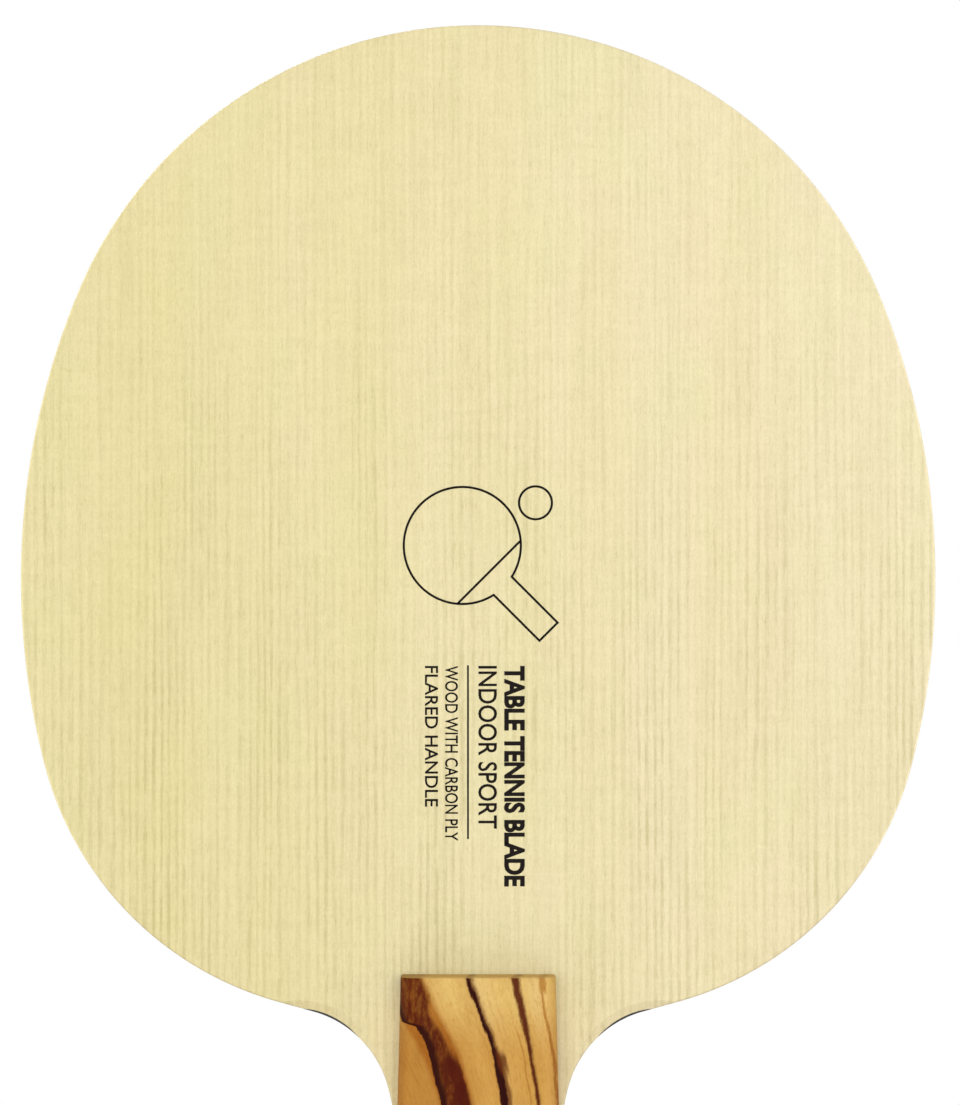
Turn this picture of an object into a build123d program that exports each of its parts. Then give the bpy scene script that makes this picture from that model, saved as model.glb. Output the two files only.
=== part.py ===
from build123d import *
from build123d.topology import SkipClean

import os
from math import cos, hypot, radians, sin, tan

# Bare table tennis blade: seven plies glued into one plate, with a handle scale on each side of its tang.
# Millimetres. The origin is the centre of the butt, +Z runs up the handle to the tip of the head, the front
# of the blade faces -Y and +X is to its right. Every node is written to parts/NODE.step.

# Lengths along the blade
HANDLE_LENGTH = 100.0
HEAD_HEIGHT = 155.7
TOTAL_LENGTH = HANDLE_LENGTH + HEAD_HEIGHT

# Ply thicknesses: outer veneer, carbon sheet and inner veneer lie on each side of the core
OUTER_VENEER = 0.6
CARBON_SHEET = 0.2
INNER_VENEER = 0.7
CORE = 2.8
BLADE_THICKNESS = 2 * (OUTER_VENEER + CARBON_SHEET + INNER_VENEER) + CORE

# Head outline from the tip down, as arcs (radius, sweep in degrees) that run on from each other
TOP_ARC = (71.1, 67.45)
SIDE_ARC = (122.4, 36.9)
LOWER_ARC = (54.6, 59.9)
WING_LINE = 6.4
NECK_ARC = (17.5, 58.75)

# Flared handle: half its width and half its thickness at the top end, the middle and the butt
HALF_WIDTHS = (12.65, 14.25, 17.0)
HALF_DEPTHS = (11.35, 11.55, 12.5)
LONG_EDGE_RADIUS = 3.2
BUTT_EDGE_RADIUS = 1.2
TOP_END_RADIUS = 0.4

# Rim of the head, broken by hand all round
RIM_RADIUS = 0.35

# Shoulders sanded to a cone deep enough to bare the carbon, deepest at this turn round the neck arc
SHOULDER_RADIUS = 14.5
SHOULDER_OFFSET = 4.7
SHOULDER_ANGLE = 24.0
SHOULDER_TURN = 9.5
SHOULDER_DEPTH = 1.4

# Rubber stops this far above the handle scale
RUBBER_GAP = 1.0

# Domed badge let into the front scale
BADGE_HEIGHT = 20.0
BADGE_RADIUS = 7.5
BADGE_RIM = 1.3
BADGE_DOME = 0.35
BADGE_CLEARANCE = 0.05
BADGE_SEAT = 10.8

SLAB = 400.0
FRONT = -1
BACK = 1


class Outline:
    """Half an outline drawn as a pen moves: each stretch starts along the heading the last one ended on."""

    def __init__(self, x, z, heading):
        self.x, self.z, self.heading, self.edges = x, z, heading, []

    def normal(self, side):
        """Unit vector square to the heading, to the pen's right for side 1 and to its left for side -1."""
        a = radians(self.heading)
        return side * sin(a), -side * cos(a)

    def arc(self, radius, sweep, side):
        """An arc that turns to the given side. Returns its centre."""
        nx, nz = self.normal(side)
        centre = self.x + nx * radius, self.z + nz * radius
        points = [(self.x, self.z)]
        for share in (0.5, 1.0):
            turn = radians(-side * sweep * share)
            px = centre[0] - radius * (nx * cos(turn) - nz * sin(turn))
            pz = centre[1] - radius * (nx * sin(turn) + nz * cos(turn))
            points.append((px, pz))
        self.edges.append(ThreePointArc(*points))
        self.x, self.z = points[-1]
        self.heading -= side * sweep
        return centre

    def line(self, length):
        a = radians(self.heading)
        end = self.x + length * cos(a), self.z + length * sin(a)
        self.edges.append(Line((self.x, self.z), end))
        self.x, self.z = end


def three_point_circle(halves):
    """Centre and radius of the arc through half sizes given at the handle's top end, middle and butt."""
    top, middle, butt = halves
    (x1, z1), (x2, z2), (x3, z3) = (top, HANDLE_LENGTH), (middle, HANDLE_LENGTH / 2), (butt, 0)
    d = 2 * (x1 * (z2 - z3) + x2 * (z3 - z1) + x3 * (z1 - z2))
    s1, s2, s3 = x1 * x1 + z1 * z1, x2 * x2 + z2 * z2, x3 * x3 + z3 * z3
    cx = (s1 * (z2 - z3) + s2 * (z3 - z1) + s3 * (z1 - z2)) / d
    cz = (s1 * (x3 - x2) + s2 * (x1 - x3) + s3 * (x2 - x1)) / d
    return cx, cz, hypot(x1 - cx, z1 - cz)


def half_face(edges):
    """Closes half an outline along the centre line and mirrors it to the whole face, on the XZ plane."""
    start, end = edges[0] @ 0, edges[-1] @ 1
    half = make_face([*edges, Line(end, (0, end.Y)), Line((0, end.Y), start)])
    return Plane.XZ * (half + mirror(half, about=Plane.YZ))


def blade_outline():
    """The edges of half the blade from tip to butt, and the centre its shoulder is sanded round."""
    pen = Outline(0, TOTAL_LENGTH, 0)
    for radius, sweep in (TOP_ARC, SIDE_ARC, LOWER_ARC):
        pen.arc(radius, sweep, 1)
    pen.line(WING_LINE)
    bite = radians(pen.heading - 90 + SHOULDER_TURN)
    neck = pen.arc(*NECK_ARC, -1)
    shoulder = neck[0] + SHOULDER_OFFSET * cos(bite), neck[1] + SHOULDER_OFFSET * sin(bite)

    # The last arc runs on from the neck and into the handle's side, so the side's circle sets its radius
    sx, sz, side_radius = three_point_circle(HALF_WIDTHS)
    nx, nz = pen.normal(-1)
    ex, ez = pen.x - sx, pen.z - sz
    radius = (side_radius**2 - ex * ex - ez * ez) / (2 * (nx * ex + nz * ez + side_radius))
    bx, bz = pen.x + nx * radius - sx, pen.z + nz * radius - sz
    reach = side_radius / hypot(bx, bz)
    touch = sx + bx * reach, sz + bz * reach
    blend = TangentArc((pen.x, pen.z), touch, tangent=(cos(radians(pen.heading)), sin(radians(pen.heading))))
    side = TangentArc(touch, (HALF_WIDTHS[2], 0), tangent=blend % 1)
    return [*pen.edges, blend, side], shoulder


def plate(edges, shoulder):
    """The whole plate, all plies thick, with its butt corners, rim and shoulders eased."""
    face = half_face(edges)
    corners = face.vertices().group_by(Axis.Z)[0]
    face = fillet([v for v in corners if abs(v.X) > 1], BUTT_EDGE_RADIUS)
    solid = extrude(face, BLADE_THICKNESS / 2, both=True)
    sides = solid.faces().filter_by(Axis.Y)
    solid = fillet([e for e in sides.edges() if e.center().Z > 0.7 * HANDLE_LENGTH], RIM_RADIUS)
    for x in (-shoulder[0], shoulder[0]):
        for side in (FRONT, BACK):
            solid -= shoulder_cutter(x, shoulder[1], side)
    return solid


def shoulder_cutter(x, z, side):
    """A cone that narrows into the plate and leaves the shoulder's sanded slope."""
    run = 1 / tan(radians(SHOULDER_ANGLE))
    outer = SHOULDER_RADIUS + SHOULDER_DEPTH * run
    inner = SHOULDER_RADIUS - SHOULDER_DEPTH * run
    cone = Cone(outer, inner, 2 * SHOULDER_DEPTH)
    face = Plane(origin=(x, side * BLADE_THICKNESS / 2, z), z_dir=(0, -side, 0))
    return face * cone


def slab(low, high):
    """Everything between two heights through the thickness, along Y."""
    return Pos(0, (low + high) / 2, 0) * Box(SLAB, high - low, 2 * SLAB)


def plies(whole):
    """The seven plies, cut out of the plate from front to back."""
    stack = [
        ("outer_veneer_front", OUTER_VENEER),
        ("carbon_sheet_front", CARBON_SHEET),
        ("inner_veneer_front", INNER_VENEER),
        ("core", CORE),
        ("inner_veneer_back", INNER_VENEER),
        ("carbon_sheet_back", CARBON_SHEET),
        ("outer_veneer_back", OUTER_VENEER),
    ]
    made, y = {}, -BLADE_THICKNESS / 2
    for name, thickness in stack:
        made[name] = whole & slab(y, y + thickness)
        y += thickness
    return made


def rubber_line(veneer):
    """Parts the veneer's faces where the rubber ends, so that the rubber's own area is a face by itself."""
    height = HANDLE_LENGTH + RUBBER_GAP
    above = veneer & Pos(0, 0, height + SLAB / 2) * Box(SLAB, SLAB, SLAB)
    below = veneer & Pos(0, 0, height - SLAB / 2) * Box(SLAB, SLAB, SLAB)
    with SkipClean():
        return above + below


def handle_blank():
    """Both scales and the tang between them as one eased block."""

    def walls(halves):
        cx, cz, radius = three_point_circle(halves)
        side = RadiusArc((halves[0], HANDLE_LENGTH), (halves[2], 0), -radius if cx > 0 else radius)
        return half_face([Line((0, HANDLE_LENGTH), (halves[0], HANDLE_LENGTH)), side])

    across = extrude(walls(HALF_WIDTHS), 3 * HALF_DEPTHS[2], both=True)
    through = Rot(0, 0, 90) * extrude(walls(HALF_DEPTHS), 3 * HALF_WIDTHS[2], both=True)
    block = across & through
    long_edges = [e for e in block.edges() if e.bounding_box().size.Z > HANDLE_LENGTH / 2]
    block = fillet(long_edges, LONG_EDGE_RADIUS)
    block = fillet(block.faces().sort_by(Axis.Z)[0].edges(), BUTT_EDGE_RADIUS)
    return fillet(block.faces().sort_by(Axis.Z)[-1].edges(), TOP_END_RADIUS)


def badge():
    """A round badge with a flat back and a domed face."""
    rise = (BADGE_RADIUS**2 + BADGE_DOME**2) / (2 * BADGE_DOME)
    dome = Pos(0, 0, BADGE_RIM + BADGE_DOME - rise) * Sphere(rise)
    disc = Cylinder(BADGE_RADIUS, BADGE_RIM + BADGE_DOME, align=(Align.CENTER, Align.CENTER, Align.MIN))
    return badge_seat_plane() * (disc & dome)


def badge_seat_plane():
    return Plane(origin=(0, -BADGE_SEAT, BADGE_HEIGHT), z_dir=(0, -1, 0))


def scales():
    """The front and back handle scales, the front one with a seat for the badge."""
    block = handle_blank()
    face = BLADE_THICKNESS / 2
    front = block & slab(-SLAB / 2, -face)
    back = block & slab(face, SLAB / 2)
    seat = Cylinder(BADGE_RADIUS + BADGE_CLEARANCE, SLAB / 2, align=(Align.CENTER, Align.CENTER, Align.MIN))
    return {"handle_scale_front": front - badge_seat_plane() * seat, "handle_scale_back": back}


def main():
    nodes = plies(plate(*blade_outline()))
    for name in ("outer_veneer_front", "outer_veneer_back"):
        nodes[name] = rubber_line(nodes[name])
    nodes.update(scales())
    nodes["handle_badge"] = badge()
    os.makedirs("parts", exist_ok=True)
    for name, shape in nodes.items():
        export_step(shape, f"parts/{name}.step")


main()
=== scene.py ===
import math

import bmesh
import bpy
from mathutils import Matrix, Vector


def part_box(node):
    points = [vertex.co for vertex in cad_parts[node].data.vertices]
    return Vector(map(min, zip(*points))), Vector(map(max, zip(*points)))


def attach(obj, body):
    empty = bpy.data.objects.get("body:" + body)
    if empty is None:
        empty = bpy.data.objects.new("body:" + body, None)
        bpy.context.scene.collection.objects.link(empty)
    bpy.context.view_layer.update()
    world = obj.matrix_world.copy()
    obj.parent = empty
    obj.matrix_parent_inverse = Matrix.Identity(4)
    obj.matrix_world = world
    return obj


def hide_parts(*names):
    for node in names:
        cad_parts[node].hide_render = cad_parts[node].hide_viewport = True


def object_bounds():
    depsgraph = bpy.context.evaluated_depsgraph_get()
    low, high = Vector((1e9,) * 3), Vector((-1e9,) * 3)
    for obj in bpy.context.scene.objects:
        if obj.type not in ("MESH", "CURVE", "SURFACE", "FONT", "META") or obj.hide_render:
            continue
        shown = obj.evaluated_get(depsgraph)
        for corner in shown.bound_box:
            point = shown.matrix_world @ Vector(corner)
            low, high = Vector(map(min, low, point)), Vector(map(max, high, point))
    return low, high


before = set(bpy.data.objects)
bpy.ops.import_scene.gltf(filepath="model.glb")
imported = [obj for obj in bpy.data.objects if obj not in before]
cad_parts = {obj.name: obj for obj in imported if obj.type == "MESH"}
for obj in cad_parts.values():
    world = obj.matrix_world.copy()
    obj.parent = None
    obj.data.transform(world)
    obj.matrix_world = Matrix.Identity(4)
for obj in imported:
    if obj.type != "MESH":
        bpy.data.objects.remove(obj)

MM = 0.001

for name in ("Cube", "Light", "Camera"):
    if name in bpy.data.objects:
        bpy.data.objects.remove(bpy.data.objects[name])
cad_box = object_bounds()

# ---------------------------------------------------------------- measures, in millimetres
HANDLE_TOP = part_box("handle_scale_front")[1].z / MM
HEAD_TOP = cad_box[1].z / MM
HALF_HEAD = cad_box[1].x / MM
FACE = -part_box("outer_veneer_front")[0].y / MM
BADGE = (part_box("handle_badge")[0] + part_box("handle_badge")[1]) / 2 / MM

# The blade's outline as part.py draws it: arcs (radius, sweep) that run on from each other, from the tip down
ARCS = ((71.1, 67.45), (122.4, 36.9), (54.6, 59.9))
WING_LINE = 6.4
NECK_ARC = (17.5, 58.75)
HALF_WIDTHS = (12.65, 14.25, 17.0)
BUTT_RADIUS = 1.2
RIM_RADIUS = 0.35
SHOULDER_RADIUS, SHOULDER_OFFSET, SHOULDER_ANGLE, SHOULDER_TURN = 14.5, 4.7, 24.0, 9.5

# How far apart its points are, and over how many of them the rim's rounding fades out at the handle
STEP, NECK_STEP, BUTT_STEP = 0.5, 0.3, 0.1
RIM_FADE = 16

# Depths below the nearer face where the outer veneer, the carbon sheet and the inner veneer end
VENEER_DEPTH, CARBON_DEPTH, INNER_DEPTH = 0.6, 0.8, 1.5

# Print: the emblem's middle, the tops of the words and the rule, the strokes and the film's thickness
EMBLEM_MIDDLE = HEAD_TOP - 87.95
WORDS_TOP = HEAD_TOP - 105.1
RULE_TOP, RULE_LENGTH, RULE_X = HEAD_TOP - 105.0, 28.5, -1.67
EMBLEM_STROKE, RULE_STROKE = 0.38, 0.3
INK_THICKNESS = 0.02

# Grain: the koto's growth lines and the carbon's tows
LINE_PITCH = 1.42
TOW_WIDTH = 2.0

# View: the height and the middle of what the camera sees on the front face, its shift and its distance
VIEW_HEIGHT = 181.24
VIEW_CENTRE = HEAD_TOP - 86.5
VIEW_SHIFT = 0.3
VIEW_DISTANCE = 1100.0
SENSOR = 36

# Studio: the floor and where it fades out, and the backdrop's light on the object
FLOOR_RADIUS, FLOOR_FADE = 720, (450, 700)
BACKDROP_LIGHT = 0.28

# The woods' colours are scaled down by this, to suit the studio's light
LIT = (0.80, 0.80, 0.80)


# ---------------------------------------------------------------- node writing
class Nodes:
    """A material's node tree, written as sums. A value is a socket or a number. Lengths are millimetres."""

    def __init__(self, name):
        self.material = bpy.data.materials.new(name)
        self.material.use_nodes = True
        self.tree = self.material.node_tree
        self.tree.nodes.clear()
        self.shader = self.tree.nodes.new("ShaderNodeBsdfPrincipled")
        output = self.tree.nodes.new("ShaderNodeOutputMaterial")
        self.tree.links.new(self.shader.outputs[0], output.inputs["Surface"])
        at = self.tree.nodes.new("ShaderNodeTexCoord").outputs["Object"]
        self.at = self.vector("MULTIPLY", at, (1000, 1000, 1000))
        split = self.tree.nodes.new("ShaderNodeSeparateXYZ")
        self.put(split.inputs[0], self.at)
        self.x, self.y, self.z = split.outputs
        facing = self.tree.nodes.new("ShaderNodeSeparateXYZ")
        self.put(facing.inputs[0], self.tree.nodes.new("ShaderNodeNewGeometry").outputs["Normal"])
        self.nx, self.ny, self.nz = [self.absolute(s) for s in facing.outputs]

    def put(self, socket, value):
        if isinstance(value, bpy.types.NodeSocket):
            self.tree.links.new(value, socket)
        elif hasattr(value, "__len__") and len(value) == 3 and len(socket.default_value) == 4:
            socket.default_value = (*value, 1)
        else:
            socket.default_value = value

    def math(self, operation, a, b=0.0):
        node = self.tree.nodes.new("ShaderNodeMath")
        node.operation = operation
        self.put(node.inputs[0], a)
        self.put(node.inputs[1], b)
        return node.outputs[0]

    def minus(self, a, b):
        return self.math("SUBTRACT", a, b)

    def absolute(self, a):
        return self.math("ABSOLUTE", a)

    def add(self, *values):
        total = values[0]
        for value in values[1:]:
            total = self.math("ADD", total, value)
        return total

    def times(self, *values):
        total = values[0]
        for value in values[1:]:
            total = self.math("MULTIPLY", total, value)
        return total

    def vector(self, operation, a, b):
        node = self.tree.nodes.new("ShaderNodeVectorMath")
        node.operation = operation
        self.put(node.inputs[0], a)
        self.put(node.inputs[1], b)
        return node.outputs[0]

    def join(self, x, y, z):
        node = self.tree.nodes.new("ShaderNodeCombineXYZ")
        for socket, value in zip(node.inputs, (x, y, z)):
            self.put(socket, value)
        return node.outputs[0]

    def noise(self, size, seed, detail=2.0, rough=0.5, at=None):
        """Noise from 0 to 1, with blobs about size = (x, y, z) millimetres across."""
        scaled = self.vector("DIVIDE", self.at if at is None else at, size)
        node = self.tree.nodes.new("ShaderNodeTexNoise")
        node.noise_dimensions = "4D"
        self.put(node.inputs["Vector"], scaled)
        self.put(node.inputs["W"], seed)
        self.put(node.inputs["Scale"], 1.0)
        self.put(node.inputs["Detail"], detail)
        self.put(node.inputs["Roughness"], rough)
        return node.outputs[0]

    def wander(self, reach, size, seed, detail, rough=0.5):
        """Noise about 0, up to half of reach to either side."""
        return self.times(self.minus(self.noise(size, seed, detail, rough), 0.5), reach)

    def span(self, value, low, high, out_low=0.0, out_high=1.0, smooth=True):
        """The value's place between low and high, carried over to the two outer values and held there."""
        node = self.tree.nodes.new("ShaderNodeMapRange")
        node.interpolation_type = "SMOOTHSTEP" if smooth else "LINEAR"
        for socket, v in zip(node.inputs, (value, low, high, out_low, out_high)):
            self.put(socket, v)
        return node.outputs[0]

    def mix(self, factor, a, b, blend="MIX"):
        node = self.tree.nodes.new("ShaderNodeMix")
        node.data_type = "RGBA"
        node.blend_type = blend
        self.put(node.inputs["Factor"], factor)
        self.put(node.inputs["A"], a)
        self.put(node.inputs["B"], b)
        return node.outputs["Result"]

    def multiply(self, colour, by):
        return self.mix(1.0, colour, by, "MULTIPLY")

    def shade(self, factor, colour, by):
        """The colour, multiplied by another one as far as factor says."""
        return self.mix(factor, colour, self.multiply(colour, by))

    def ramp(self, value, low, high, stops):
        """A colour ramp whose stops stand at places between low and high."""
        node = self.tree.nodes.new("ShaderNodeValToRGB")
        self.put(node.inputs[0], self.span(value, low, high, smooth=False))
        places = [(place - low) / (high - low) for place, _ in stops]
        elements = node.color_ramp.elements
        while len(elements) < len(stops):
            elements.new(0.5)
        for element, place, (_, colour) in zip(elements, places, stops):
            element.position = place
            element.color = (*colour, 1)
        return node.outputs[0]

    def curve(self, value, low, high, points):
        """A smooth curve through (place, height), over places from low to high. Heights are from 0 to 1."""
        node = self.tree.nodes.new("ShaderNodeFloatCurve")
        self.put(node.inputs["Value"], self.span(value, low, high, smooth=False))
        line = node.mapping.curves[0]
        while len(line.points) < len(points):
            line.points.new(0.5, 0.5)
        for point, (place, height) in zip(line.points, points):
            point.location = ((place - low) / (high - low), height)
        node.mapping.update()
        return node.outputs[0]

    def finish(self, colour, roughness, height=None, depth=0.0, **constants):
        """Wires up the shader. Height is a bump up to depth millimetres high. Constants go to its sockets."""
        self.put(self.shader.inputs["Base Color"], colour)
        self.put(self.shader.inputs["Roughness"], roughness)
        if height is not None:
            bump = self.tree.nodes.new("ShaderNodeBump")
            self.put(bump.inputs["Height"], height)
            bump.inputs["Distance"].default_value = depth * MM
            self.put(self.shader.inputs["Normal"], bump.outputs[0])
        for name, value in constants.items():
            self.put(self.shader.inputs[name.replace("_", " ")], value)
        return self.material


def tint(red, green, blue):
    """A linear colour from one written the way screens write it, 0 to 255."""
    linear = []
    for value in (red, green, blue):
        v = value / 255
        linear.append(v / 12.92 if v <= 0.04045 else ((v + 0.055) / 1.055) ** 2.4)
    return tuple(linear)


# ---------------------------------------------------------------- materials
def koto_veneer():
    """Quarter-cut koto: a pale even ground, fine dark lines about 1.4 mm apart, and short pores."""
    n = Nodes("koto_veneer")
    ground = n.mix(n.span(n.x, -HALF_HEAD, HALF_HEAD), tint(227, 214, 163), tint(235, 222, 184))
    ground = n.multiply(ground, n.mix(n.span(n.z, 120, 240), (0.98, 0.98, 0.98), (1.03, 1.03, 1.03)))
    zone = n.noise((16, 16, 170), 1.0, 2.0)
    ground = n.shade(n.span(zone, 0.35, 0.65), ground, (0.988, 0.978, 0.94))
    patch = n.noise((14, 14, 22), 2.0, 3.0)
    ground = n.shade(n.span(patch, 0.4, 0.7, 0.0, 0.7), ground, (0.975, 1.012, 0.955))

    # Growth lines, which bend a little and break up, and are stronger low down on the head
    sway = n.wander(2.6, (9, 30, 400), 3.0, 1.0)
    drift = n.wander(1.0, (4, 30, 90), 4.0, 1.0)
    waver = n.wander(0.4, (2.2, 30, 9), 12.0, 2.0)
    phase = n.add(n.times(n.x, 1 / LINE_PITCH), sway, drift, waver)
    stroke = n.span(n.math("SINE", n.times(phase, 2 * math.pi)), -0.5, 1.0)
    strength = n.span(n.noise((8, 30, 70), 5.0, 3.0), 0.32, 0.68, 0.15, 1.15)
    lower = n.span(n.z, 140, 225, 1.2, 0.42)
    broken = n.span(n.noise((0.8, 3, 4.5), 6.0, 2.0), 0.32, 0.6, 0.2, 1.1)
    line = n.times(stroke, strength, lower, broken)

    pores = n.span(n.noise((0.25, 0.5, 1.6), 7.0, 2.0, 0.6), 0.52, 0.75)
    fine = n.span(n.noise((0.55, 0.8, 26.0), 8.0, 3.0, 0.6), 0.35, 0.7)
    ripple = n.span(n.noise((6, 9, 1.3), 9.0, 3.0, 0.6), 0.3, 0.7)
    grit = n.span(n.noise((0.3, 0.3, 0.45), 10.0, 2.0, 0.7), 0.3, 0.7)
    dark = n.add(n.times(line, 0.12), n.times(pores, 0.10), n.times(fine, 0.07),
                 n.times(ripple, 0.035), n.times(grit, 0.075))
    face = n.multiply(ground, n.join(*[n.minus(1.10, n.times(dark, share)) for share in (1.0, 1.05, 1.4)]))

    # The rim's rounded corner: painted highlight makes it paler than the face, painted shade darker at the
    # shoulders. The rim is a cut edge
    rim_painted_light = n.mix(n.span(n.z, 112, 122), (0.86, 0.84, 0.88), (1.2, 1.2, 1.25))
    face = n.shade(n.span(n.ny, 0.98, 0.8, smooth=False), face, rim_painted_light)
    edge_lines = n.noise((0.5, 0.3, 0.5), 11.0, 3.0)
    edge = n.mix(n.span(edge_lines, 0.35, 0.65), tint(222, 208, 170), tint(198, 178, 136))
    colour = n.multiply(n.mix(n.span(n.ny, 0.6, 0.2), face, edge), LIT)
    height = n.add(n.times(n.minus(1.0, line), 0.5), n.times(n.minus(1.0, pores), 0.5), n.times(ripple, 0.1))
    rough = n.span(pores, 0.0, 1.0, 0.52, 0.66, smooth=False)
    return n.finish(colour, rough, height, 0.02, Specular_IOR_Level=0.2)


def carbon_weave():
    """Plain-woven carbon cloth cut across: the tows' ends lie as flat lenses in clear resin."""
    n = Nodes("carbon_weave")
    weave = n.math("SINE", n.times(n.add(n.x, n.times(n.z, 0.8)), math.pi / TOW_WIDTH))
    tow = n.absolute(weave)
    fibre = n.noise((0.12, 0.05, 0.12), 21.0, 3.0, 0.7)
    colour = n.mix(n.span(tow, 0.2, 0.9), tint(26, 25, 27), tint(44, 43, 46))
    colour = n.mix(n.span(fibre, 0.55, 0.8, 0.0, 0.7), colour, tint(78, 77, 80))
    rough = n.span(n.add(tow, n.times(weave, n.y, 0.05)), 0.0, 1.0, 0.5, 0.34, smooth=False)
    height = n.add(n.times(tow, 0.5), n.times(fibre, 0.5))
    return n.finish(colour, rough, height, 0.02, Specular_IOR_Level=0.5)


def ply_wood(name, seed, light, dark, pitch, contrast):
    """Plain-sawn wood seen on its cut edge, its growth lines a pitch apart and running up the blade."""
    n = Nodes(name)
    sway = n.wander(3.0, (14, 4, 150), seed, 2.0)
    phase = n.add(n.times(n.x, 1 / pitch), n.times(n.y, 0.35), sway)
    ring = n.span(n.math("SINE", n.times(phase, 2 * math.pi)), -0.2, 1.0, 0.0, contrast)
    fibre = n.noise((0.35, 0.35, 5.0), seed + 1, 3.0, 0.6)
    blotch = n.noise((12, 5, 40), seed + 2, 2.0)
    figure = n.add(ring, n.times(fibre, 0.45), n.times(blotch, 0.35))
    pores = n.span(n.noise((0.16, 0.16, 0.9), seed + 3, 2.0, 0.6), 0.6, 0.78)
    colour = n.mix(n.span(figure, 0.2, 1.0), light, dark)
    colour = n.mix(n.times(pores, 0.45), colour, dark)
    end = n.span(n.nz, 0.6, 0.95, 0.0, 0.3)
    colour = n.multiply(n.shade(end, colour, (0.62, 0.55, 0.48)), LIT)
    rough = n.span(pores, 0, 1, 0.6, 0.75)
    height = n.add(n.times(fibre, 0.6), n.times(n.minus(1.0, pores), 0.5))
    return n.finish(colour, rough, height, 0.03, Specular_IOR_Level=0.22)


TAN, GOLD, ORANGE = tint(211, 164, 93), tint(218, 174, 102), tint(196, 146, 76)
PALE, BROWN, RUST = tint(220, 178, 112), tint(100, 42, 8), tint(172, 108, 38)
MAROON, BLACK, AMBER = tint(84, 20, 0), tint(50, 6, 0), tint(166, 104, 34)


def olive_course(n, down, seed, mirrored):
    """The place across the grain, in millimetres: x without the veins' lean, and with a little warp."""
    x = n.times(n.x, -1.0) if mirrored else n.x
    lean = n.times(1.5, n.curve(down, 0, 100, (
        (0, 0.0), (4.5, 0.155), (8, 0.30), (11, 0.43), (16.5, 0.585), (20.6, 0.667), (50, 0.87),
        (100, 0.97))))
    straight = n.math("DIVIDE", n.minus(x, n.times(lean, 5.6)), n.minus(1.0, n.times(lean, 0.27)))
    depth = n.times(n.minus(n.absolute(n.y), 11.4), 0.1)
    warp = n.wander(0.8, (9, 11, 16), seed, 1.0)
    waver = n.wander(0.9, (1.8, 3.0, 4.0), seed + 1, 1.0)
    return n.add(straight, depth, warp, waver)


def olive_veins(n, colour, along, down, seed):
    """Lays the dark veins over a colour, each at its own place across the grain and with ragged edges."""
    torn = n.add(along, n.wander(0.75, (0.35, 0.5, 0.9), seed + 2, 3.0, 0.65))

    def vein(left, right, soft_left, soft_right):
        rise = n.span(torn, left, n.add(left, soft_left))
        return n.times(rise, n.span(torn, right, n.minus(right, soft_right)))

    # The broad band: its left edge steps in at a notch, and its right edge has a waist
    notch = n.times(n.span(down, 7.1, 8.1, 2.6, 0.0), n.span(n.absolute(n.y), 5.0, 11.0))
    edge = n.minus(n.span(down, 9, 19, -14.7, -16.2), notch)
    waist = n.times(n.span(down, 3, 6.5), n.span(down, 15.5, 12.5), 1.3)
    band = vein(edge, n.minus(-8.6, waist), 0.5, 1.6)
    mottle = n.noise((1.1, 1.5, 3.2), seed + 3, 3.0, 0.7)
    core = n.times(vein(-12.4, -9.2, 0.9, 0.6), n.span(down, 11, 15))

    # The middle vein widens as it runs down and has a knot beside it, and the one to its right narrows
    wide = n.span(down, 10, 20, 0.0, 0.75)
    knot = n.times(vein(-1.8, 0.8, 0.4, 0.7), n.span(down, 11.4, 13.2), n.span(down, 17.0, 14.0))
    narrow = n.span(down, 5, 14, 0.0, 0.5)

    # The thin ones: an amber vein with a patch at its top, and a hair that starts further down
    patch = n.times(vein(9.4, 11.2, 0.5, 0.6), n.span(down, 3.2, 1.8))
    hair = n.times(vein(3.8, 4.4, 0.2, 0.25), n.span(down, 7, 10), 0.45)
    for cover, over in (
            (n.times(band, n.span(mottle, 0.3, 0.62, 1.0, 0.72)), BROWN),
            (n.times(band, n.span(mottle, 0.62, 0.42, 0.0, 0.75)), MAROON),
            (n.times(vein(edge, n.add(edge, 2.4), 0.25, 1.4), 0.95), BLACK),
            (n.times(core, 0.9), MAROON),
            (n.times(vein(n.minus(-2.25, wide), n.add(-0.4, wide), 0.5, 0.8), 0.8), BROWN),
            (vein(n.minus(-2.05, wide), n.add(-1.0, n.times(wide, 0.5)), 0.3, 0.45), BLACK),
            (n.times(knot, 0.85), BROWN),
            (n.times(vein(5.0, n.minus(7.0, narrow), 0.4, 0.8), 0.85), BROWN),
            (n.times(vein(5.3, n.minus(6.6, narrow), 0.3, 0.5), 0.8), MAROON),
            (n.times(n.math("MAXIMUM", patch, vein(9.6, 10.5, 0.35, 0.4)), 0.8), AMBER),
            (hair, RUST)):
        colour = n.mix(cover, colour, over)
    return colour


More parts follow.
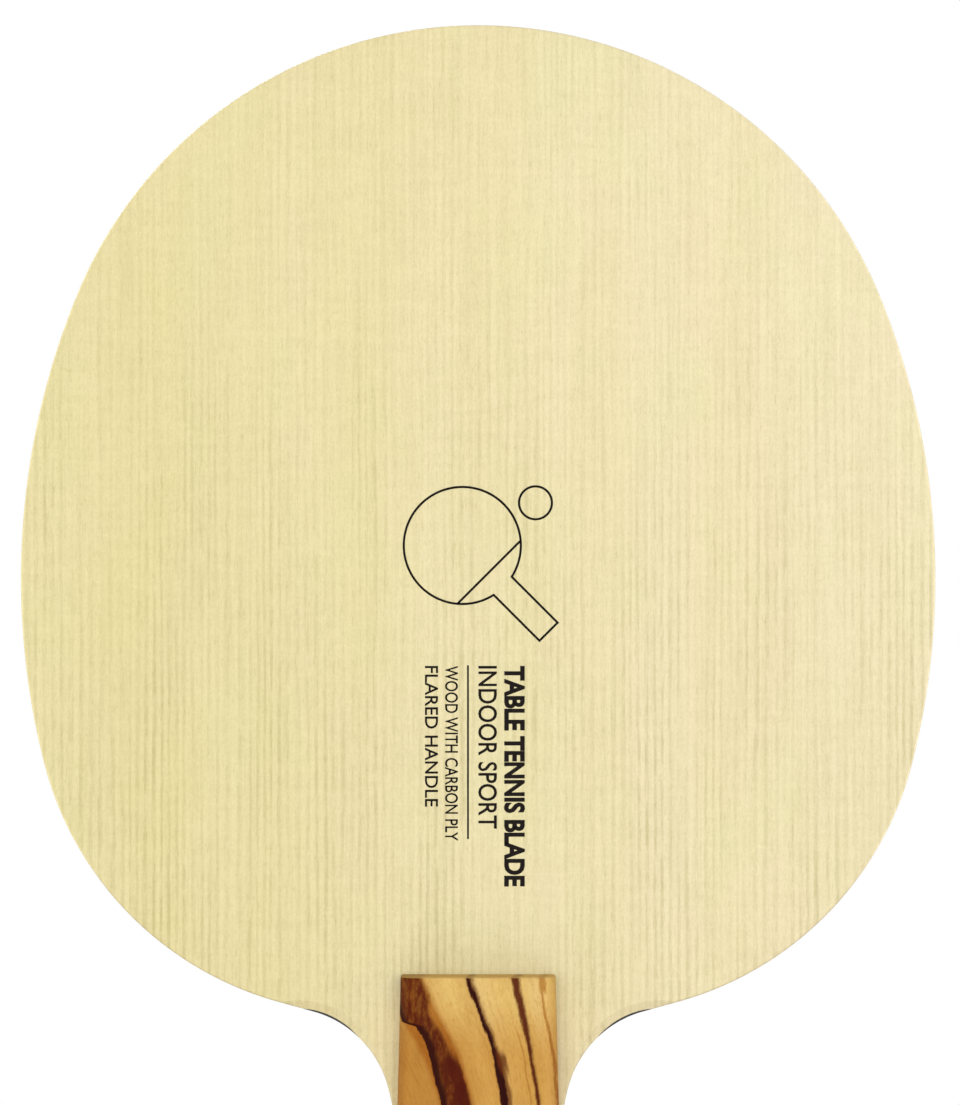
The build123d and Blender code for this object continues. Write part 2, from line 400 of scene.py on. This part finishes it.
def olive_wood(name, seed, mirrored):
    """Olive wood: golden tan, with dark veins that lean to the right as they run down the handle."""
    n = Nodes(name)
    down = n.minus(HANDLE_TOP, n.z)
    along = olive_course(n, down, seed, mirrored)
    ground = n.ramp(along, -42, 16, (
        (-42.0, TAN), (-37.5, RUST), (-36.8, MAROON), (-36.2, TAN), (-31.0, ORANGE), (-29.0, RUST),
        (-28.2, BROWN), (-27.0, ORANGE), (-17.0, ORANGE), (-15.8, RUST), (-9.5, RUST), (-8.2, TAN),
        (-5.0, GOLD), (-2.2, TAN), (-1.0, PALE), (3.0, GOLD), (6.8, GOLD), (8.5, PALE), (11.5, GOLD),
        (16.0, ORANGE)))
    colour = olive_veins(n, ground, along, down, seed)

    # Fine figure that follows the grain
    grain_at = n.join(along, n.y, n.z)
    cloud = n.noise((3.5, 4, 9), seed + 4, 3.0)
    streak = n.noise((0.4, 2, 12), seed + 5, 3.0, 0.65, at=grain_at)
    fleck = n.noise((0.28, 0.4, 0.9), seed + 6, 2.0, 0.6, at=grain_at)
    light = n.noise((0.5, 0.7, 1.4), seed + 7, 2.0, at=grain_at)
    colour = n.shade(n.span(cloud, 0.4, 0.7, 0.0, 0.5), colour, (0.86, 0.80, 0.68))
    colour = n.shade(n.span(streak, 0.5, 0.78, 0.0, 0.45), colour, (0.76, 0.62, 0.48))
    colour = n.shade(n.span(fleck, 0.47, 0.72, 0.0, 0.65), colour, (0.80, 0.70, 0.54))
    colour = n.shade(n.span(light, 0.52, 0.75, 0.0, 0.7), colour, (1.10, 1.12, 1.16))

    # Both ends are cut across the grain: the top end face gets a painted highlight towards tan, the butt's
    # end grain is darker. The wood is paler towards the head, and its flanks get painted shade
    top = n.times(n.span(n.nz, 0.5, 0.9), n.span(down, 3.0, 1.0), 0.6)
    colour = n.mix(top, colour, TAN)
    butt = n.times(n.span(n.nz, 0.7, 0.95), n.span(n.z, 3.0, 1.0))
    end_grain = n.noise((0.35, 0.35, 0.35), seed + 8, 3.0, 0.7)
    colour = n.shade(n.times(butt, n.span(end_grain, 0.3, 0.7, 0.35, 0.75)), colour, (0.55, 0.45, 0.34))
    tone = n.mix(n.span(down, 1.5, 13), (1.05, 1.16, 1.18), (0.87, 0.78, 0.56))
    colour = n.multiply(n.multiply(colour, LIT), tone)
    # Painted shade on the flanks, darker where they turn sideways
    colour = n.shade(n.span(n.nx, 0.35, 0.85, 0.0, 0.8), colour, (0.84, 0.77, 0.68))
    rough = n.span(streak, 0.3, 0.8, 0.55, 0.65)
    height = n.add(n.times(streak, 0.6), n.times(fleck, 0.4))
    return n.finish(colour, rough, height, 0.02, Specular_IOR_Level=0.05)


def badge_resin():
    """Black enamel under a clear dome, with a plain silver ring and a silver dot in its middle."""
    n = Nodes("badge_resin")
    dx, dz = n.minus(n.x, BADGE.x), n.minus(n.z, BADGE.z)
    radius = n.math("SQRT", n.add(n.times(dx, dx), n.times(dz, dz)))
    ring = n.times(n.span(radius, 5.55, 5.65), n.span(radius, 6.25, 6.15))
    dot = n.span(radius, 1.75, 1.65)
    marks = n.math("MAXIMUM", ring, dot)
    brushed = n.noise((0.08, 1, 3), 61.0, 2.0)
    silver = n.mix(n.span(brushed, 0.3, 0.7), tint(176, 178, 182), tint(205, 207, 210))
    flake = n.noise((0.15, 0.15, 0.15), 62.0, 2.0, 0.7)
    black = n.mix(n.span(flake, 0.6, 0.8, 0.0, 0.4), tint(22, 22, 25), tint(48, 48, 54))
    colour = n.mix(marks, black, silver)
    rough = n.span(marks, 0.0, 1.0, 0.12, 0.2, smooth=False)
    return n.finish(colour, rough, flake, 0.002, Coat_Weight=0.8, Coat_Roughness=0.04)


def print_ink():
    """Screen-printed dark brown ink, a little thin where it crosses the pores."""
    n = Nodes("print_ink")
    thin = n.span(n.noise((0.25, 0.5, 1.6), 71.0, 3.0, 0.65), 0.55, 0.8)
    colour = n.mix(n.times(thin, 0.35), tint(16, 8, 4), tint(88, 66, 44))
    return n.finish(colour, n.span(thin, 0, 1, 0.55, 0.65), thin, 0.005, Specular_IOR_Level=0.08)


def dress(node, material):
    """Gives every slot of a CAD node the one material."""
    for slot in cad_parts[node].material_slots:
        slot.material = material


# ---------------------------------------------------------------- meshes
def place(bm, name, material):
    """Makes a finished mesh into an object of the scene."""
    mesh = bpy.data.meshes.new(name)
    bm.to_mesh(mesh)
    bm.free()
    mesh.materials.append(material)
    piece = bpy.data.objects.new(name, mesh)
    bpy.context.scene.collection.objects.link(piece)
    return piece


# ---------------------------------------------------------------- plies
class Pen:
    """Draws half the outline. Each point is (x, z) with the outward direction there."""

    def __init__(self):
        self.at, self.heading, self.points = Vector((0, HEAD_TOP)), 0.0, []

    def way(self, turn=0.0):
        return Vector((math.cos(self.heading + turn), math.sin(self.heading + turn)))

    def mark(self):
        self.points.append((self.at.copy(), self.way(math.pi / 2)))

    def run(self, length, radius=math.inf, side=1, step=STEP):
        """A stretch that turns to the pen's right for side 1 and to its left for side -1."""
        count = max(1, math.ceil(length / step))
        turn = -side * length / count / radius
        chord = length / count if radius == math.inf else 2 * radius * math.sin(abs(turn) / 2)
        for _ in range(count):
            self.mark()
            self.at += self.way(turn / 2) * chord
            self.heading += turn

    def arc(self, radius, sweep, side, step=STEP):
        self.run(radius * math.radians(sweep), radius, side, step)


def flare_circle():
    """Centre and radius of the arc through the handle's three half widths."""
    rows = [(HALF_WIDTHS[0], HANDLE_TOP), (HALF_WIDTHS[1], HANDLE_TOP / 2), (HALF_WIDTHS[2], 0.0)]
    (x1, z1), (x2, z2), (x3, z3) = rows
    d = 2 * (x1 * (z2 - z3) + x2 * (z3 - z1) + x3 * (z1 - z2))
    s1, s2, s3 = [x * x + z * z for x, z in rows]
    centre = Vector((s1 * (z2 - z3) + s2 * (z3 - z1) + s3 * (z1 - z2),
                     s1 * (x3 - x2) + s2 * (x1 - x3) + s3 * (x2 - x1))) / d
    return centre, (Vector(rows[0]) - centre).length


def half_outline():
    """The outline's right half, how many of its points have a rounded rim, and the shoulder's centre."""
    pen = Pen()
    for arc in ARCS:
        pen.arc(*arc, 1)
    pen.run(WING_LINE)
    neck = pen.at + pen.way(math.pi / 2) * NECK_ARC[0]
    shoulder = neck + pen.way(math.radians(SHOULDER_TURN) - math.pi / 2) * SHOULDER_OFFSET
    pen.arc(*NECK_ARC, -1, NECK_STEP)

    # The blend arc is tangent to the neck and to the handle's side
    centre, flare = flare_circle()
    inward, out = pen.way(math.pi / 2), pen.at - centre
    radius = (flare ** 2 - out.length_squared) / (2 * (inward.dot(out) + flare))
    middle = pen.at + inward * radius
    touch = centre + (middle - centre).normalized() * flare
    pen.run(radius * (pen.at - middle).angle(touch - middle), radius, -1)
    fade = len(pen.points)
    slope = math.asin((centre.y - BUTT_RADIUS) / flare)
    pen.run(flare * abs(math.atan2(touch.y - centre.y, centre.x - touch.x) + slope), flare, -1)
    pen.arc(BUTT_RADIUS, 180 + math.degrees(pen.heading), 1, BUTT_STEP)
    pen.at.y = 0
    pen.mark()
    return pen.points, fade, shoulder


def ply(name, node, depths, material, back=False, rounded=False):
    """A ply as rings of the outline, one at each depth below the front face, or the back one if told so."""
    half, fade, shoulder = OUTLINE
    rings = []
    for depth in depths:
        ring = []
        for i, (at, outward) in enumerate(half):
            ease = RIM_RADIUS * min(1.0, max(0.02, (fade - i) / RIM_FADE)) if rounded else 0.0
            here, down = at.copy(), depth
            if depth < RIM_RADIUS and rounded:
                down = depth / RIM_RADIUS * ease
                here -= outward * (ease - math.sqrt(max(0.0, ease ** 2 - (ease - down) ** 2)))
            reach = SHOULDER_RADIUS - down / math.tan(math.radians(SHOULDER_ANGLE))
            away = here - shoulder
            if away.length < reach:
                here = shoulder + away.normalized() * reach
            ring.append((min(max(here.x, 0.0), HALF_HEAD), down, max(here.y, 0.0)))
        left = [(-x, down, z) for x, down, z in reversed(ring) if x > 1e-6]
        rings.append(ring + [(0.0, ring[-1][1], 0.0)] + left)

    bm = bmesh.new()
    side = 1 if back else -1
    loops = []
    for ring in rings:
        loops.append([bm.verts.new(Vector((x, side * (FACE - down), z)) * MM) for x, down, z in ring])
    for upper, lower in zip(loops, loops[1:]):
        for i in range(len(upper)):
            j = (i + 1) % len(upper)
            bm.faces.new((upper[i], upper[j], lower[j], lower[i])).smooth = True
    bm.faces.new(loops[0])
    bm.faces.new(loops[-1])
    bmesh.ops.recalc_face_normals(bm, faces=bm.faces[:])
    for edge in bm.edges:
        edge.smooth = all(len(face.verts) == 4 for face in edge.link_faces)
    piece = place(bm, name, material)
    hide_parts(node)
    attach(piece, "root")


def plies(koto, carbon, inner, core):
    """All seven plies. The depths of their rings are closer where the rim is rounded or the carbon slopes."""
    outer = (0.0, 0.03, 0.1, 0.2, RIM_RADIUS, 0.43, 0.51, VENEER_DEPTH)
    sheet = (VENEER_DEPTH, 0.65, 0.7, 0.75, CARBON_DEPTH)
    under = (CARBON_DEPTH, INNER_DEPTH)
    for side, back in (("front", False), ("back", True)):
        ply("ply_outer_" + side, "outer_veneer_" + side, outer, koto, back, rounded=True)
        ply("ply_carbon_" + side, "carbon_sheet_" + side, sheet, carbon, back)
        ply("ply_inner_" + side, "inner_veneer_" + side, under, inner, back)
    ply("ply_core", "core", (INNER_DEPTH, 2 * FACE - INNER_DEPTH), core)


# ---------------------------------------------------------------- print
def strip(bm, points, width, closed=False):
    """A flat line of the given width through points (x, z), with mitred corners."""
    count = len(points)
    pairs = []
    for i, here in enumerate(points):
        before = points[i - 1] if closed or i > 0 else None
        after = points[(i + 1) % count] if closed or i < count - 1 else None
        runs = [(here - before).normalized()] if before is not None else []
        runs += [(after - here).normalized()] if after is not None else []
        normals = [Vector((-r.y, r.x)) for r in runs]
        mitre = sum(normals, Vector((0, 0))).normalized()
        reach = width / 2 / max(mitre.dot(normals[0]), 0.35)
        pairs.append([bm.verts.new((*(here + mitre * reach * s), 0)) for s in (1, -1)])
    for i in range(count if closed else count - 1):
        a, b = pairs[i], pairs[(i + 1) % count]
        bm.faces.new((a[0], a[1], b[1], b[0]))


def circle(centre, radius, count, start=0, end=360):
    """Points round a circle, or along an arc of it from start to end in degrees, in count steps."""
    angles = [math.radians(start + (end - start) * i / count) for i in range(count + (end - start < 360))]
    return [centre + radius * Vector((math.cos(a), math.sin(a))) for a in angles]


def lay_print(bm, name, turned=False):
    """Puts a flat drawing on the front face as a thin film of ink. A turned one reads down the blade."""
    for face in bm.faces:
        face.normal_update()
    flat = bmesh.ops.extrude_face_region(bm, geom=bm.faces[:])
    raised = [v for v in flat["geom"] if isinstance(v, bmesh.types.BMVert)]
    for v in raised:
        v.co.z = INK_THICKNESS
    for v in bm.verts:
        x, up = (v.co.y, -v.co.x) if turned else (v.co.x, v.co.y)
        v.co = Vector((x, -FACE - v.co.z, up)) * MM
    bmesh.ops.recalc_face_normals(bm, faces=bm.faces[:])
    piece = place(bm, name, INK)
    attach(piece, "root")


def emblem():
    """A plain pictogram: the outline of a paddle, with a ball beside it."""
    bm = bmesh.new()
    along, across = Vector((1, -1)).normalized(), Vector((1, 1)).normalized()
    centre, radius = Vector((-2.6, EMBLEM_MIDDLE + 2.6)), 9.6
    half_grip, grip_end, rubber_end = 2.1, 20.0, 6.2
    opening = math.degrees(math.asin(half_grip / radius))
    head = circle(centre, radius, 96, -45 + opening, 315 - opening)
    foot = centre + along * grip_end
    strip(bm, [*head, foot - across * half_grip, foot + across * half_grip], EMBLEM_STROKE, closed=True)
    chord, reach = centre + along * rubber_end, math.sqrt(radius ** 2 - rubber_end ** 2)
    strip(bm, [chord - across * reach, chord + across * reach], EMBLEM_STROKE)
    ball, ball_radius = Vector((9.4, EMBLEM_MIDDLE + 9.6)), 2.7
    strip(bm, circle(ball, ball_radius, 48), EMBLEM_STROKE, closed=True)
    lay_print(bm, "print_emblem")


def embolden(bm, reach):
    """Moves the outline of flat letters outward, in the letters' own units."""
    pushes = {}
    for edge in bm.edges:
        if edge.is_boundary:
            loop = edge.link_loops[0]
            along = (loop.link_loop_next.vert.co - loop.vert.co).normalized()
            out = Vector((along.y, -along.x, 0)) * math.copysign(1, loop.face.normal.z)
            for v in edge.verts:
                pushes.setdefault(v, []).append(out)
    for v, outs in pushes.items():
        mitre = sum(outs, Vector()).normalized()
        v.co += mitre * reach / max(mitre.dot(outs[0]), 0.5)


def words(name, text, height, length, weight, baseline):
    """One line of print that reads down the blade from WORDS_TOP, with its baseline at an x."""
    curve = bpy.data.curves.new(name, "FONT")
    curve.body = text
    curve.resolution_u = 4
    writing = bpy.data.objects.new(name, curve)
    bpy.context.scene.collection.objects.link(writing)
    bpy.context.view_layer.update()
    mesh = bpy.data.meshes.new_from_object(writing)
    bpy.data.objects.remove(writing)
    bm = bmesh.new()
    bm.from_mesh(mesh)
    bmesh.ops.remove_doubles(bm, verts=bm.verts[:], dist=1e-5)
    bm.normal_update()
    embolden(bm, weight)
    xs, ys = [v.co.x for v in bm.verts], [v.co.y for v in bm.verts]
    left, wide = min(xs), max(xs) - min(xs)
    low, high = min(ys), max(ys)
    for v in bm.verts:
        along = (v.co.x - left) / wide * length
        v.co = Vector((along - WORDS_TOP, baseline + (v.co.y - low) / (high - low) * height, 0))
    lay_print(bm, name, turned=True)


def rule():
    bm = bmesh.new()
    strip(bm, [Vector((RULE_X, RULE_TOP)), Vector((RULE_X, RULE_TOP - RULE_LENGTH))], RULE_STROKE)
    lay_print(bm, "print_rule")


# ---------------------------------------------------------------- studio
def area_light(name, at, aim, size, power):
    """A square light, aimed at a height on the object's axis. Metres and watts."""
    data = bpy.data.lights.new(name, "AREA")
    data.size = size
    data.energy = power
    lamp = bpy.data.objects.new(name, data)
    lamp.location = at
    lamp.rotation_euler = (Vector((0, 0, aim)) - Vector(at)).to_track_quat("-Z", "Y").to_euler()
    bpy.context.scene.collection.objects.link(lamp)


def studio():
    """A white backdrop that the camera sees at full strength, softer light from it, lamps and a floor."""
    world = bpy.data.worlds.new("studio")
    world.use_nodes = True
    tree = world.node_tree
    background = tree.nodes["Background"]
    background.inputs[0].default_value = (1, 1, 1, 1)
    seen = tree.nodes.new("ShaderNodeMapRange")
    tree.links.new(tree.nodes.new("ShaderNodeLightPath").outputs["Is Camera Ray"], seen.inputs[0])
    seen.inputs["To Min"].default_value = BACKDROP_LIGHT
    seen.inputs["To Max"].default_value = 1.0
    tree.links.new(seen.outputs[0], background.inputs[1])
    bpy.context.scene.world = world
    area_light("key", (0.3, -1.7, 0.5), 0.17, 1.1, 15.0)
    area_light("fill", (-0.35, -1.7, 0.35), 0.17, 1.1, 12.6)
    area_light("left", (-1.6, 0, 0.5), 0.14, 0.8, 12)
    area_light("right", (1.6, 0, 0.5), 0.14, 0.8, 12)
    area_light("back", (-0.6, 1.5, 0.9), 0.17, 0.9, 30)

    n = Nodes("floor")
    fleck = n.noise((3, 3, 3), 81.0, 3.0)
    reach = n.math("SQRT", n.add(n.times(n.x, n.x), n.times(n.y, n.y)))
    n.put(n.shader.inputs["Alpha"], n.span(reach, *FLOOR_FADE, 1.0, 0.0))
    bm = bmesh.new()
    bmesh.ops.create_circle(bm, cap_ends=True, segments=96, radius=FLOOR_RADIUS * MM)
    floor = place(bm, "floor", n.finish(n.mix(fleck, (0.86, 0.86, 0.85), (0.88, 0.88, 0.87)), 0.6))


def camera():
    data = bpy.data.cameras.new("camera")
    data.sensor_width = SENSOR
    data.lens = SENSOR * VIEW_DISTANCE / VIEW_HEIGHT
    data.clip_start, data.clip_end = 0.05, 20
    shot = bpy.data.objects.new("camera", data)
    shot.location = (VIEW_SHIFT * MM, -(VIEW_DISTANCE + FACE) * MM, VIEW_CENTRE * MM)
    shot.rotation_euler = (math.pi / 2, 0, 0)
    bpy.context.scene.collection.objects.link(shot)
    bpy.context.scene.camera = shot


camera()
studio()
INK = print_ink()
OUTLINE = half_outline()
plies(koto_veneer(), carbon_weave(),
      ply_wood("inner_veneer", 30.0, tint(222, 194, 146), tint(186, 148, 100), 1.6, 0.35),
      ply_wood("kiri_core", 40.0, tint(234, 216, 180), tint(206, 178, 138), 3.2, 0.3))
dress("handle_scale_front", olive_wood("olive_wood_front", 50.0, False))
dress("handle_scale_back", olive_wood("olive_wood_back", 90.0, True))
dress("handle_badge", badge_resin())
emblem()
words("print_title", "TABLE TENNIS BLADE", 3.45, 36.2, 0.042, 4.23)
words("print_class", "INDOOR SPORT", 3.1, 26.7, 0.011, 0.0)
words("print_plies", "WOOD WITH CARBON PLY", 2.15, 28.7, 0.012, -5.45)
words("print_handle", "FLARED HANDLE", 2.15, 23.1, 0.012, -8.73)
rule()

bpy.context.scene.view_settings.view_transform = "Standard"
